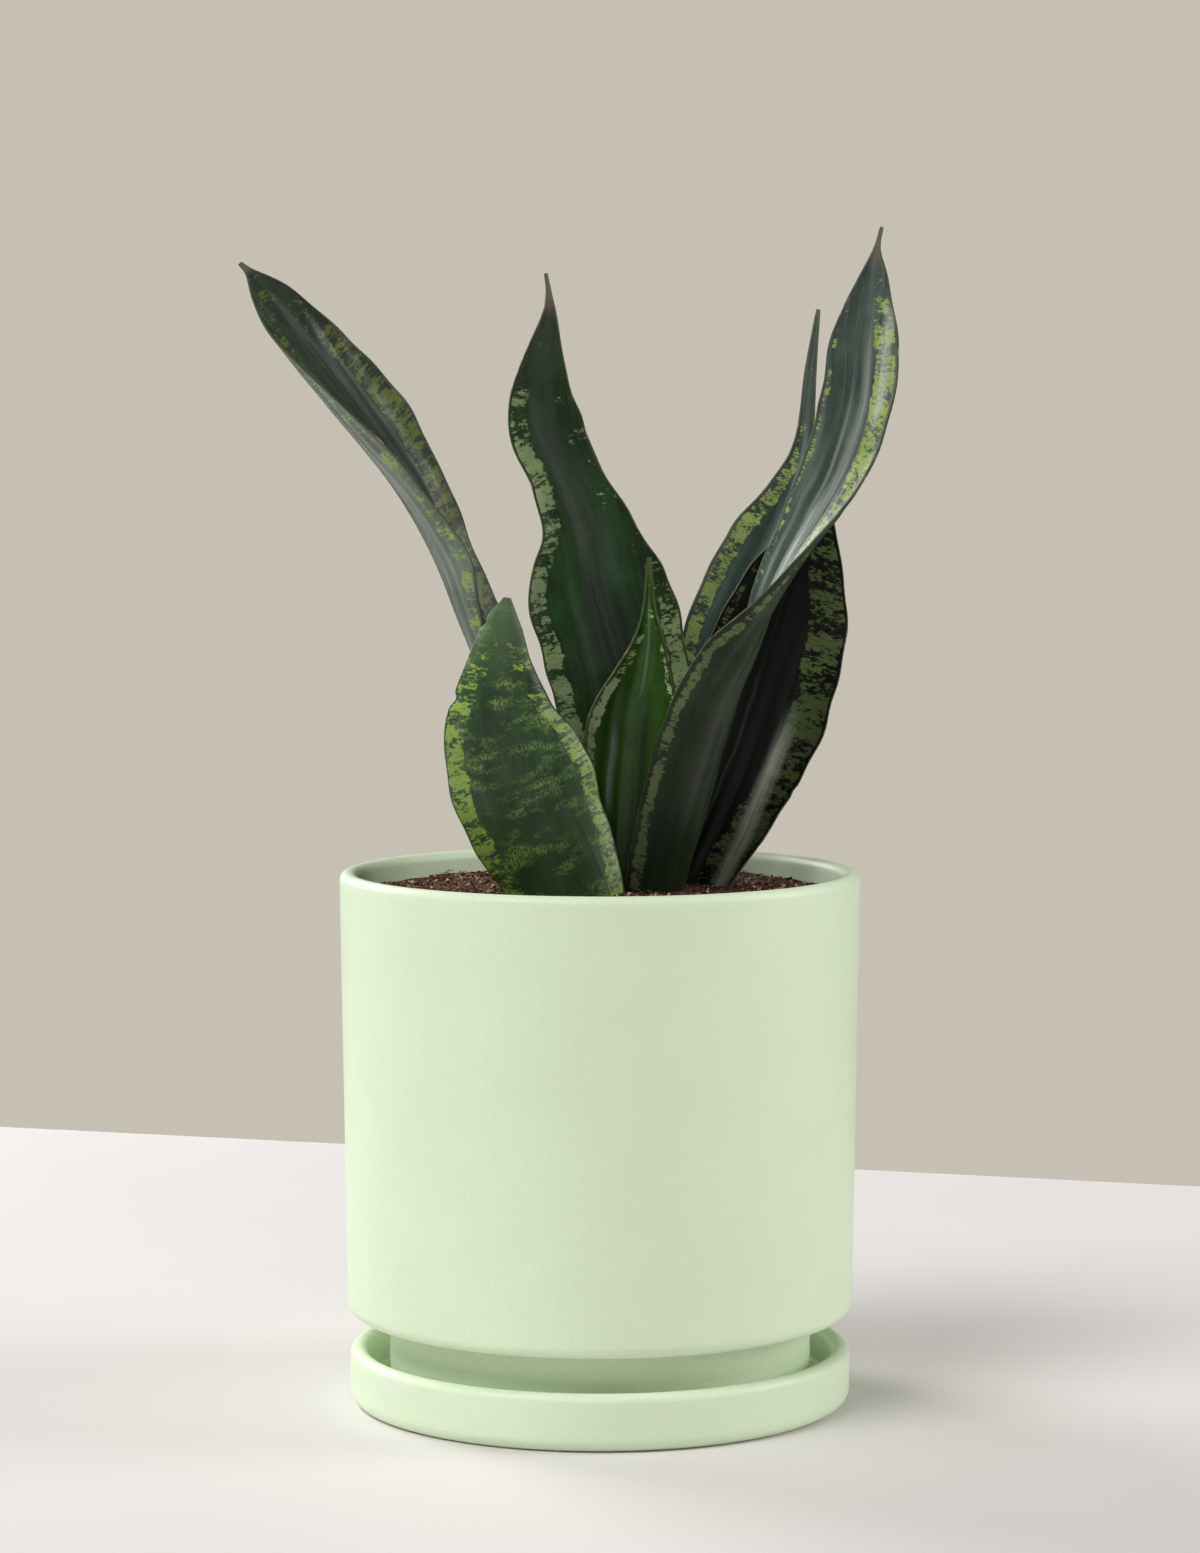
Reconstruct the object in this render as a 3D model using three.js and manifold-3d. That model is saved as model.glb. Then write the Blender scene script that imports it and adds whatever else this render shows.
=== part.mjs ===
// Potted snake plant: seven leaves on a rhizome, in soil, in a ceramic pot that stands on its saucer.
// Millimetres, +Z up. The origin is the centre of the saucer's underside.
import * as THREE from 'three';
import { ParametricGeometry } from 'three/addons/geometries/ParametricGeometry.js';
import { mergeVertices } from 'three/addons/utils/BufferGeometryUtils.js';
import Module from 'manifold-3d';

// ---------------------------------------------------------------- driving dimensions

const FIT_GAP = 0.3;             // clearance between pieces that touch

const SAUCER_CHANNEL = 7;        // free width between the pot's foot and the saucer's wall
const SAUCER_HEIGHT = 18;
const SAUCER_WALL = 5.6;
const SAUCER_FLOOR = 6;
const SAUCER_EDGE = 4.5;         // rounding between underside and wall
const SAUCER_INNER_EDGE = 2;     // slant between floor and wall, inside

const POT_RIM_RADIUS = 82.5;     // outside, at the rim
const POT_BASE_RADIUS = 80.3;    // outside, at the bottom of the body
const POT_BODY_HEIGHT = 140.8;   // from the bottom of the body to the rim
const POT_WALL = 5.6;
const POT_BASE = 7;              // thickness of the pot's floor
const POT_EDGE = 4;              // rounding between side and underside of the body
const POT_INNER_EDGE = 7;        // rounding between wall and floor, inside
const FOOT_SETBACK = 13.3;       // how far the foot stands in from the bottom of the body
const FOOT_HEIGHT = 22.5;        // from the saucer's floor to the body
const FOOT_RECESS = 21;          // depth of the hollow inside the foot ring
const FOOT_RIM = 7;              // width of the ring that the foot stands on
const FOOT_EDGE = 6;             // rounding of the foot's lower edge
const DRAIN_RADIUS = 6;

const SOIL_BELOW_RIM = 7;        // at the pot's wall
const SOIL_CROWN = 1.2;          // how much higher the soil is in the middle
const SOIL_SHOULDER = 0.96;      // how much higher it is halfway out

const RHIZOME_RADIUS = 9;
const CROWN_CENTRE = new THREE.Vector2(9, 8);
const LEAF_ROOTING = 29;         // how far the leaves go down into the soil
const LEAF_SEAT = 4;             // how deep a leaf's base is set in the rhizome

const LEAF_THICKNESS = 4.6;      // at the middle of a full-width leaf
const LEAF_MARGIN = 1.1;         // thickness at its margins
const FULL_WIDTH = 18;           // half width from which a leaf has its full thickness

const TURNED_SIDES = 48;         // facets around the pot, its soil and the saucer
const LEAF_STEPS = 22;           // stations along a leaf
const POINTED = 0.4;             // half width that a leaf keeps at its very tip

// ---------------------------------------------------------------- sizes that follow

const FOOT_RADIUS = POT_BASE_RADIUS - FOOT_SETBACK;
const SAUCER_RADIUS = FOOT_RADIUS + SAUCER_CHANNEL + SAUCER_WALL;
const FOOT_Z = SAUCER_FLOOR + FIT_GAP;
const BODY_Z = FOOT_Z + FOOT_HEIGHT;
const RIM_Z = BODY_Z + POT_BODY_HEIGHT;
const POT_FLOOR_Z = BODY_Z + POT_BASE;
const WALL_FOOT_Z = POT_FLOOR_Z + POT_INNER_EDGE;
const SOIL_Z = RIM_Z - SOIL_BELOW_RIM;
const LEAF_BASE_Z = SOIL_Z - LEAF_ROOTING;
const RHIZOME_Z = LEAF_BASE_Z + LEAF_SEAT - RHIZOME_RADIUS;

// ---------------------------------------------------------------- leaves

// Each station of a leaf is [x, y, height above the leaf's base, half width, facing, curl].
// Half width is measured along the curved blade. Facing is the compass direction, in degrees
// from +X, that the inner face looks in. Curl is half the angle that the blade bends through.
const LEAVES = {
  leaf_left_tall: [
    [-17, 4, 0, 11, 5, 60],
    [-20, 3, 46, 14, 0, 60],
    [-29, 0, 81, 17, -5, 60],
    [-41, -3, 113, 17, -9, 58],
    [-50, -6, 135, 20.5, 2, 60],
    [-60, -9, 155, 19, -8, 60],
    [-72.5, -12, 173, 22, -12, 57],
    [-87.5, -15, 193, 17.5, -22, 48],
    [-97.5, -17, 208, 11, -42, 40],
    [-104, -18, 217.5, 6, -58, 38],
    [-108.5, -18.5, 223.5, 1.6, -60, 38],
    [-111.5, -19, 226.5, 0.6, -60, 38],
  ],
  leaf_middle_tall: [
    [12, 30, 0, 10, -90, 60],
    [12, 30, 31, 14, -90, 52],
    [9, 32, 66, 20, -90, 44],
    [7, 34, 94, 24.5, -90, 40],
    [-1, 37, 124, 24.5, -88, 40],
    [-5, 38.5, 143, 16.5, -84, 44],
    [-11, 39.5, 159, 13, -84, 46],
    [-18, 40, 177, 13, -88, 40],
    [-18.5, 40, 194, 8.5, -90, 40],
    [-16.5, 39, 210.5, 3, -90, 40],
    [-16.5, 39, 218.5, 1, -90, 40],
    [-17.5, 39, 225.5, 0.5, -90, 40],
  ],
  leaf_front_short: [
    [-4, -23, 0, 13, 92, 50],
    [-9.5, -25, 29, 19, 92, 42],
    [-17, -27, 48, 22.5, 92, 38],
    [-25, -29.5, 67.5, 24, 92, 36],
    [-30.5, -31.5, 85.5, 18.5, 92, 36],
    [-31, -33, 101.5, 11.5, 92, 36],
    [-30, -33.5, 114.5, 6.5, 92, 40],
    [-28.5, -33.5, 123.5, 1, 92, 40],
  ],
  leaf_heart_young: [
    [6, 1, 0, 8, -90, 70],
    [7, 1, 29, 12, -90, 65],
    [9, 2, 61, 17, -90, 60],
    [11, 2, 83, 18, -90, 60],
    [14, 1, 98, 11.5, -90, 62],
    [15.5, 0, 110, 6, -90, 70],
    [15.5, -0.5, 120, 2.5, -90, 80],
    [15.5, -1, 135, 0.6, -90, 80],
  ],
  leaf_right_tall: [
    [17, -9, 0, 12, 135, 62],
    [21, -9, 29, 15, 135, 60],
    [30, -11, 64, 17, 136, 58],
    [38, -13, 89, 18, 146, 56],
    [47, -14, 107.5, 17, 162, 52],
    [57, -15, 128.5, 13.5, 190, 46],
    [73.5, -17, 158, 14, 220, 40],
    [81, -19, 182, 13.5, 240, 38],
    [82.5, -20.5, 202.5, 11.5, 255, 38],
    [84.5, -21, 220.5, 5.5, 262, 45],
    [85.5, -21, 230.5, 1.2, 265, 50],
    [87, -21, 237.5, 0.5, 265, 50],
  ],
  leaf_right_broad: [
    [24, 18, 0, 11, -100, 60],
    [27, 18.5, 27, 15, -100, 50],
    [35.5, 21, 46.5, 18, -98, 44],
    [46, 25, 71.5, 23, -96, 38],
    [54.5, 29, 96.5, 24, -94, 36],
    [62.5, 33, 121.5, 19, -92, 36],
    [69, 36, 143.5, 8, -92, 36],
    [72, 37.5, 157, 1, -92, 36],
  ],
  leaf_right_narrow: [
    [20, 42, 0, 9, -98, 60],
    [25, 42, 41, 13, -98, 50],
    [33, 45, 80.5, 14, -96, 46],
    [40.5, 48, 106.5, 14.5, -94, 42],
    [47.5, 50, 122.5, 15.5, -94, 42],
    [55.5, 52, 137.5, 15, -92, 42],
    [63.5, 54, 157, 8, -92, 44],
    [67, 56, 172, 3.5, -92, 50],
    [69, 58, 194.5, 2, -92, 50],
    [71.5, 60, 214.5, 0.6, -92, 50],
  ],
};

// ---------------------------------------------------------------- solids and booleans

const wasm = await Module();
wasm.setup();

function toSolid(geometry) {
  const bare = geometry.clone();
  bare.deleteAttribute('normal');
  bare.deleteAttribute('uv');
  const merged = mergeVertices(bare, 1e-3);
  const mesh = new wasm.Mesh({
    numProp: 3,
    vertProperties: Float32Array.from(merged.attributes.position.array),
    triVerts: Uint32Array.from(merged.index.array),
  });
  return new wasm.Manifold(mesh);
}

function toGeometry(solid) {
  const mesh = solid.getMesh();
  const geometry = new THREE.BufferGeometry();
  geometry.setAttribute('position', new THREE.BufferAttribute(mesh.vertProperties, 3));
  geometry.setIndex(new THREE.BufferAttribute(mesh.triVerts, 1));
  geometry.computeVertexNormals();
  return geometry;
}

// A quarter round between two directions, as profile points about a centre.
function arc(centreR, centreZ, radius, fromDegrees, toDegrees, steps) {
  const points = [];
  for (let i = 0; i <= steps; i += 1) {
    const angle = THREE.MathUtils.degToRad(THREE.MathUtils.lerp(fromDegrees, toDegrees, i / steps));
    points.push(new THREE.Vector2(centreR + radius * Math.cos(angle), centreZ + radius * Math.sin(angle)));
  }
  return points;
}

// Turns a profile of (radius, height) points about the vertical axis.
function turn(profile, sides) {
  const geometry = new THREE.LatheGeometry(profile, sides);
  geometry.rotateX(Math.PI / 2);
  return geometry;
}

// ---------------------------------------------------------------- pot and saucer

function saucerGeometry() {
  const lip = SAUCER_WALL / 2;
  const inside = SAUCER_RADIUS - SAUCER_WALL;
  const profile = [
    new THREE.Vector2(0, 0),
    ...arc(SAUCER_RADIUS - SAUCER_EDGE, SAUCER_EDGE, SAUCER_EDGE, -90, 0, 3),
    ...arc(SAUCER_RADIUS - lip, SAUCER_HEIGHT - lip, lip, 0, 180, 4),
    new THREE.Vector2(inside, SAUCER_FLOOR + SAUCER_INNER_EDGE),
    new THREE.Vector2(inside - SAUCER_INNER_EDGE, SAUCER_FLOOR),
    new THREE.Vector2(0, SAUCER_FLOOR),
  ];
  return turn(profile, TURNED_SIDES);
}

function potGeometry() {
  const lip = POT_WALL / 2;
  const innerBase = POT_BASE_RADIUS - POT_WALL;
  const recess = FOOT_RADIUS - FOOT_RIM;
  const profile = [
    new THREE.Vector2(DRAIN_RADIUS, FOOT_Z + FOOT_RECESS),
    new THREE.Vector2(recess, FOOT_Z + FOOT_RECESS),
    new THREE.Vector2(recess, FOOT_Z),
    ...arc(FOOT_RADIUS - FOOT_EDGE, FOOT_Z + FOOT_EDGE, FOOT_EDGE, -90, 0, 3),
    new THREE.Vector2(FOOT_RADIUS, BODY_Z),
    ...arc(POT_BASE_RADIUS - POT_EDGE, BODY_Z + POT_EDGE, POT_EDGE, -90, 0, 3),
    ...arc(POT_RIM_RADIUS - lip, RIM_Z - lip, lip, 0, 180, 5),
    ...arc(innerBase - POT_INNER_EDGE, WALL_FOOT_Z, POT_INNER_EDGE, 0, -90, 3),
    new THREE.Vector2(DRAIN_RADIUS, POT_FLOOR_Z),
    new THREE.Vector2(DRAIN_RADIUS, FOOT_Z + FOOT_RECESS),
  ];
  return turn(profile, TURNED_SIDES);
}

// ---------------------------------------------------------------- plant

// Cross-section of the blade at one station: across runs from -1 to 1 between the margins, and
// side is 1 on the inner face, -1 on the outer face and 0 on the margin.
function bladePoint(leaf, along, across, side, grow) {
  const keel = leaf.route.getPoint(along);
  const tangent = leaf.route.getTangent(along);
  const [halfWidth, facing, curl] = leaf.section.getPoint(along).toArray();
  const reach = Math.max(halfWidth, POINTED) + grow;
  const bend = THREE.MathUtils.degToRad(curl);
  const heading = THREE.MathUtils.degToRad(facing);
  const sideways = new THREE.Vector3(Math.cos(heading), Math.sin(heading), 0);
  sideways.crossVectors(tangent, sideways).normalize();
  const inward = new THREE.Vector3().crossVectors(sideways, tangent);
  const angle = bend * across;
  const radius = reach / bend;
  const body = Math.min(1, reach / FULL_WIDTH) * (LEAF_THICKNESS - LEAF_MARGIN) * (1 - across ** 2);
  const offset = side * ((body + Math.min(LEAF_MARGIN, reach)) / 2 + grow);
  const point = keel.clone();
  point.addScaledVector(sideways, (radius - offset) * Math.sin(angle));
  point.addScaledVector(inward, radius - (radius - offset) * Math.cos(angle));
  return point;
}

// The closed skin of one leaf; grow makes it larger on every side, for the sockets it sits in.
function leafGeometry(stations, grow = 0) {
  const leaf = {
    route: new THREE.CatmullRomCurve3(
      stations.map(([x, y, height]) => new THREE.Vector3(x, y, LEAF_BASE_Z + height)), false, 'catmullrom'),
    section: new THREE.CatmullRomCurve3(
      stations.map(([, , , halfWidth, facing, curl]) => new THREE.Vector3(halfWidth, facing, curl)),
      false, 'catmullrom'),
  };
  const ring = [
    [-1, 1], [-0.62, 1], [-0.2, 1], [0.2, 1], [0.62, 1], [1, 1],
    [1, -1], [0.62, -1], [0.2, -1], [-0.2, -1], [-0.62, -1], [-1, -1],
  ];
  const rows = LEAF_STEPS + 2;
  const middle = (along) => bladePoint(leaf, along, 0, 0, grow);
  const skin = (u, v, target) => {
    const row = Math.min(rows, Math.max(0, v * rows));
    const along = THREE.MathUtils.clamp((row - 1) / LEAF_STEPS, 0, 1);
    const closing = Math.min(1, row, rows - row);
    const [across, side] = ring[Math.round(u * ring.length) % ring.length];
    target.lerpVectors(middle(along), bladePoint(leaf, along, across, side, grow), closing);
    if (row <= 1) {
      target.z -= grow;
    }
  };
  return new ParametricGeometry(skin, ring.length, rows);
}

// The rhizome: one thick arm from the crown to below each leaf, with a socket for the leaf's base.
function rhizomeSolid(grow = 0) {
  const arms = Object.values(LEAVES).map(([[x, y]]) => {
    const run = new THREE.Vector2(x, y).sub(CROWN_CENTRE);
    const arm = new THREE.CapsuleGeometry(RHIZOME_RADIUS + grow, run.length(), 4, 12);
    arm.rotateZ(Math.PI / 2);
    arm.rotateZ(run.angle());
    const centre = run.multiplyScalar(0.5).add(CROWN_CENTRE);
    arm.translate(centre.x, centre.y, RHIZOME_Z);
    return toSolid(arm);
  });
  return arms.reduce((whole, arm) => whole.add(arm));
}

function soilSolid() {
  const wallTop = RIM_Z - POT_WALL / 2;
  const inside = (z) => {
    const share = (z - WALL_FOOT_Z) / (wallTop - WALL_FOOT_Z);
    return THREE.MathUtils.lerp(POT_BASE_RADIUS, POT_RIM_RADIUS, share) - POT_WALL - FIT_GAP;
  };
  const edge = POT_INNER_EDGE - FIT_GAP;
  const profile = [
    new THREE.Vector2(0, POT_FLOOR_Z + FIT_GAP),
    ...arc(inside(WALL_FOOT_Z) - edge, WALL_FOOT_Z, edge, -90, 0, 3),
    new THREE.Vector2(inside(SOIL_Z), SOIL_Z),
    new THREE.Vector2(inside(SOIL_Z) / 2, SOIL_Z + SOIL_SHOULDER),
    new THREE.Vector2(0, SOIL_Z + SOIL_CROWN),
  ];
  return toSolid(turn(profile, TURNED_SIDES));
}

// ---------------------------------------------------------------- assembly

const glaze = { color: 0xcfe0bf, roughness: 0.55, metalness: 0 };
const earth = { color: 0x3b2620, roughness: 1, metalness: 0 };
const root = { color: 0xb98a5a, roughness: 0.8, metalness: 0 };
const matureLeaf = { color: 0x2f4a35, roughness: 0.35, metalness: 0 };
const youngLeaf = { color: 0x3d6b1f, roughness: 0.35, metalness: 0 };

const plant = new THREE.Group();

function place(name, geometry, finish) {
  const mesh = new THREE.Mesh(geometry, new THREE.MeshStandardMaterial(finish));
  mesh.name = name;
  plant.add(mesh);
}

const sockets = Object.values(LEAVES)
  .map((stations) => toSolid(leafGeometry(stations, FIT_GAP)))
  .reduce((whole, socket) => whole.add(socket));

place('saucer', saucerGeometry(), glaze);
place('pot', potGeometry(), glaze);
place('soil', toGeometry(soilSolid().subtract(rhizomeSolid(FIT_GAP)).subtract(sockets)), earth);
place('rhizome', toGeometry(rhizomeSolid().subtract(sockets)), root);
for (const [name, stations] of Object.entries(LEAVES)) {
  place(name, leafGeometry(stations), name === 'leaf_heart_young' ? youngLeaf : matureLeaf);
}

export default plant;
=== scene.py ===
"""Potted snake plant: marbled leaves in a matte mint pot that stands on its saucer.

Metres, +Z up. The origin is the centre of the saucer's underside.
"""

import math
import random

import bmesh
import bpy
import numpy as np
from bpy.props import FloatProperty, FloatVectorProperty, IntProperty, PointerProperty
from mathutils import Euler, Matrix, Vector


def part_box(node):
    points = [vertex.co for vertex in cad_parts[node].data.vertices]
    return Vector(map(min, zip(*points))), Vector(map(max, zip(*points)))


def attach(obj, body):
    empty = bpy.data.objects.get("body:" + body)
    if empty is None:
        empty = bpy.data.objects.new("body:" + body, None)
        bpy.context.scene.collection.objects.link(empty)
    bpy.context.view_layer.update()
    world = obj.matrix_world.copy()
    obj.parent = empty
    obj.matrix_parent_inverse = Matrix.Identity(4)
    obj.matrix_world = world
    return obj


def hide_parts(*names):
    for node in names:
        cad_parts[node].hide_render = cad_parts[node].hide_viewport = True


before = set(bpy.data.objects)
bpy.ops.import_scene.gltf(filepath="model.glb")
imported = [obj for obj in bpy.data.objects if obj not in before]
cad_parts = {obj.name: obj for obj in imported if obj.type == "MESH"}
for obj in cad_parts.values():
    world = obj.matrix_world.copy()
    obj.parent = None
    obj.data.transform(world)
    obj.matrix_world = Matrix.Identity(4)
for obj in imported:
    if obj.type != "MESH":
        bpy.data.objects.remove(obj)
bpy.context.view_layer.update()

bl_info = {
    "name": "Potted snake plant",
    "version": (1, 0, 0),
    "blender": (4, 5, 0),
    "location": "View3D > Sidebar > Plant",
    "description": "Builds a potted snake plant around its packed frame",
    "category": "Object",
}

MM = 0.001
FIT_GAP = 0.3 * MM
SIDES = 160                                   # facets around the pot and the saucer
POT_LOW, POT_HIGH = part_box("pot")
SAUCER_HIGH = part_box("saucer")[1]
SOIL_LOW, SOIL_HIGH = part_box("soil")
ROUNDING_SPARE = 0.05 * MM                    # flat left between the two roundings of a lip
BELOW_LIP = 4.5 * MM                          # a row of faces starts this far below a rounded lip
ROOTING_Z = 133.6                             # height in mm at which the leaves begin
LEVEL_ERROR, RADIUS_ERROR = 0.02 * MM, 0.05 * MM  # how closely a face or edge is picked out
LARGEST_CRUMB = 1.6 * MM
BED_TONE, FRESHEST_TONE = 0.3, 0.85           # of the bed and of the lightest crumbs; 0 is darkest
SHADED_HEIGHT = 60 * MM                       # how far up from the mix the leaves are darkened with painted shade


def linear(code):
    """An sRGB hex colour such as #2f4a35 as linear RGBA."""
    shares = [int(code[i:i + 2], 16) / 255 for i in (1, 3, 5)]
    light = [s / 12.92 if s <= 0.04045 else ((s + 0.055) / 1.055) ** 2.4 for s in shares]
    return (*light, 1.0)


# ---------------------------------------------------------------- settings

class PotSettings(bpy.types.PropertyGroup):
    """Sizes and colour of the pot and its saucer."""
    rim_radius: FloatProperty(
        name="Rim radius", description="Outside radius at the rim",
        default=POT_HIGH.x, unit="LENGTH")
    base_radius: FloatProperty(
        name="Base radius", description="Outside radius at the bottom of the body",
        default=80.3 * MM, unit="LENGTH")
    body_height: FloatProperty(
        name="Body height", description="From the bottom of the body to the rim",
        default=140.8 * MM, unit="LENGTH")
    wall: FloatProperty(
        name="Wall", description="Thickness of the pot's and the saucer's wall",
        default=5.6 * MM, unit="LENGTH")
    floor: FloatProperty(
        name="Floor", description="Thickness of the pot's floor", default=7 * MM, unit="LENGTH")
    foot_setback: FloatProperty(
        name="Foot setback", description="How far the foot stands in from the body",
        default=13.3 * MM, unit="LENGTH")
    saucer_channel: FloatProperty(
        name="Saucer channel", description="Free width between the foot and the saucer's wall",
        default=7 * MM, unit="LENGTH")
    glaze: FloatVectorProperty(
        name="Glaze", description="Colour of the matte glaze", subtype="COLOR", size=4,
        min=0, max=1, default=linear("#e1f1d3"))
    bisque: FloatVectorProperty(
        name="Bare clay", description="Colour of the unglazed rings under the pot and saucer",
        subtype="COLOR", size=4, min=0, max=1, default=linear("#e2d8c6"))


class SoilSettings(bpy.types.PropertyGroup):
    """The potting mix."""
    below_rim: FloatProperty(
        name="Below the rim", description="How far the mix lies below the rim at the wall",
        default=7 * MM, unit="LENGTH")
    crumbs: IntProperty(
        name="Crumbs", description="How many loose bark crumbs lie on top", default=4500, min=0)
    fibres: IntProperty(
        name="Fibres", description="How many coir fibres lie on top", default=500, min=0)
    seed: IntProperty(name="Seed", description="Starts the scatter", default=7)
    dark: FloatVectorProperty(
        name="Dark bark", description="Colour of most crumbs", subtype="COLOR", size=4,
        min=0, max=1, default=linear("#47291c"))
    fleck: FloatVectorProperty(
        name="Fresh bark", description="Colour of the lightest flecks", subtype="COLOR", size=4,
        min=0, max=1, default=linear("#cfa981"))


class LeafSettings(bpy.types.PropertyGroup):
    """The leaves."""
    thickness: FloatProperty(
        name="Thickness", description="At the keel of a full-width leaf",
        default=4.6 * MM, unit="LENGTH")
    margin: FloatProperty(
        name="Margin thickness", description="At the edges of a leaf",
        default=0.8 * MM, unit="LENGTH")
    edge_line: FloatVectorProperty(
        name="Edge line", description="Colour of the margins where they have dried",
        subtype="COLOR", size=4, min=0, max=1, default=linear("#6d4632"))
    dry: FloatVectorProperty(
        name="Dry tip", description="Colour of the dried spine at the tip", subtype="COLOR", size=4,
        min=0, max=1, default=linear("#6b6358"))


class StageSettings(bpy.types.PropertyGroup):
    """Floor, light and backdrop."""
    floor: FloatVectorProperty(
        name="Table", description="Colour of the table top", subtype="COLOR", size=4,
        min=0, max=1, default=linear("#e2dedc"))
    backdrop: FloatVectorProperty(
        name="Backdrop", description="Colour seen behind the object", subtype="COLOR", size=4,
        min=0, max=1, default=linear("#c6c0b4"))
    air: FloatProperty(
        name="Room light", description="Strength of the even light from all around",
        default=0.08, min=0)
    key: FloatProperty(
        name="Key light", description="Strength of the broad even light from the upper left",
        default=1.75, min=0)
    front_watts: FloatProperty(
        name="Front light", description="Power of the soft light in front",
        default=6, unit="POWER")
    left_watts: FloatProperty(
        name="Left light", description="Power of the soft light at the left",
        default=7, unit="POWER")
    side_watts: FloatProperty(
        name="Side light", description="Power of the soft light at the right",
        default=19, unit="POWER")
    back_watts: FloatProperty(
        name="Back light", description="Power of the soft light behind the left",
        default=23, unit="POWER")


class PlantSettings(bpy.types.PropertyGroup):
    """All settings of the potted plant."""
    pot: PointerProperty(type=PotSettings)
    soil: PointerProperty(type=SoilSettings)
    leaf: PointerProperty(type=LeafSettings)
    stage: PointerProperty(type=StageSettings)


# ---------------------------------------------------------------- materials

def add(tree, kind, inputs, **settings):
    """Adds a node with its settings, sets or links its inputs, and returns its outputs."""
    node = tree.nodes.new(kind)
    for name, value in settings.items():
        setattr(node, name, value)
    for key, value in inputs.items():
        if isinstance(value, bpy.types.NodeSocket):
            tree.links.new(value, node.inputs[key])
        else:
            node.inputs[key].default_value = value
    return node.outputs


def blank_material(name):
    """A new material without nodes, and its node tree."""
    material = bpy.data.materials.new(name)
    material.use_nodes = True
    material.node_tree.nodes.clear()
    return material, material.node_tree


def finish_material(tree, shader):
    add(tree, "ShaderNodeOutputMaterial", {"Surface": shader})


def matte_glaze(settings):
    """Glazed stoneware, fired matte: even mint colour, silky sheen, faint pooling of glaze."""
    material, tree = blank_material("matte_mint_glaze")
    place = add(tree, "ShaderNodeTexCoord", {})["Object"]
    # Glaze pools over a few centimetres, so the tone drifts a little.
    pooling = add(tree, "ShaderNodeTexNoise", {
        "Vector": place, "Scale": 1 / (28 * MM), "Detail": 3.0})[0]
    # Grains of the matting oxide are about 0.4 mm; they are drawn at 0.9 mm so that they show.
    grain = add(tree, "ShaderNodeTexNoise", {
        "Vector": place, "Scale": 1 / (0.9 * MM), "Detail": 2.0})[0]
    thin = [c * 0.975 for c in settings.glaze[:3]] + [1]
    drift = add(tree, "ShaderNodeMapRange", {0: pooling, 1: 0.35, 2: 0.65})[0]
    colour = add(tree, "ShaderNodeMix", {
        0: drift, 6: tuple(settings.glaze), 7: thin}, data_type="RGBA")[2]
    speck = add(tree, "ShaderNodeMapRange", {0: grain, 1: 0.3, 2: 0.7, 3: 0.97, 4: 1.02})[0]
    colour = add(tree, "ShaderNodeVectorMath", {0: colour, "Scale": speck}, operation="SCALE")[0]
    dull = add(tree, "ShaderNodeMapRange", {0: pooling, 1: 0.3, 2: 0.7, 3: 0.42, 4: 0.52})[0]
    relief = add(tree, "ShaderNodeBump", {
        "Strength": 0.25, "Distance": 0.05 * MM, "Height": grain})[0]
    shader = add(tree, "ShaderNodeBsdfPrincipled", {
        "Base Color": colour, "Roughness": dull, "IOR": 1.5, "Normal": relief})[0]
    finish_material(tree, shader)
    return material


def bare_clay(settings):
    """Unglazed bisque stoneware: chalky, warm off-white, with fine dark specks in the clay."""
    material, tree = blank_material("bare_bisque_clay")
    place = add(tree, "ShaderNodeTexCoord", {})["Object"]
    specks = add(tree, "ShaderNodeTexNoise", {
        "Vector": place, "Scale": 1 / (1.2 * MM), "Detail": 3.0})[0]
    share = add(tree, "ShaderNodeMapRange", {0: specks, 1: 0.62, 2: 0.72})[0]
    colour = add(tree, "ShaderNodeMix", {
        0: share, 6: tuple(settings.bisque), 7: linear("#9c8f7d")}, data_type="RGBA")[2]
    relief = add(tree, "ShaderNodeBump", {
        "Strength": 0.4, "Distance": 0.1 * MM, "Height": specks})[0]
    shader = add(tree, "ShaderNodeBsdfPrincipled", {
        "Base Color": colour, "Roughness": 0.9, "IOR": 1.5, "Normal": relief})[0]
    finish_material(tree, shader)
    return material


def potting_mix(settings):
    """Coir and composted bark: dull dark brown crumbs, some freshly broken and lighter."""
    material, tree = blank_material("coir_and_bark_mix")
    place = add(tree, "ShaderNodeTexCoord", {})["Object"]
    tone = add(tree, "ShaderNodeAttribute", {}, attribute_name="tone")["Fac"]
    # Loose crumbs are 0.4 to 1.6 mm; the bed below them is drawn with crumbs of 1.3 mm.
    fine = add(tree, "ShaderNodeTexNoise", {
        "Vector": place, "Scale": 1 / (1.3 * MM), "Detail": 4.0})[0]
    mixed = add(tree, "ShaderNodeMath", {0: fine, 1: 0.5, 2: tone}, operation="MULTIPLY_ADD")[0]
    stained = add(tree, "ShaderNodeValToRGB", {0: mixed})[0]
    scale = stained.node.color_ramp
    stops = ((0.25, linear("#120a08")), (0.6, tuple(settings.dark)), (0.95, linear("#74503a")),
             (1.2, tuple(settings.fleck)))
    top = stops[-1][0]
    scale.elements[0].position = stops[0][0] / top
    scale.elements[0].color = stops[0][1]
    scale.elements[1].position = 1.0
    scale.elements[1].color = stops[-1][1]
    for position, colour in stops[1:-1]:
        scale.elements.new(position / top).color = colour
    relief = add(tree, "ShaderNodeBump", {"Strength": 0.7, "Distance": 0.4 * MM, "Height": fine})[0]
    shader = add(tree, "ShaderNodeBsdfPrincipled", {
        "Base Color": stained, "Roughness": 0.82, "IOR": 1.45, "Normal": relief})[0]
    finish_material(tree, shader)
    return material


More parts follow.
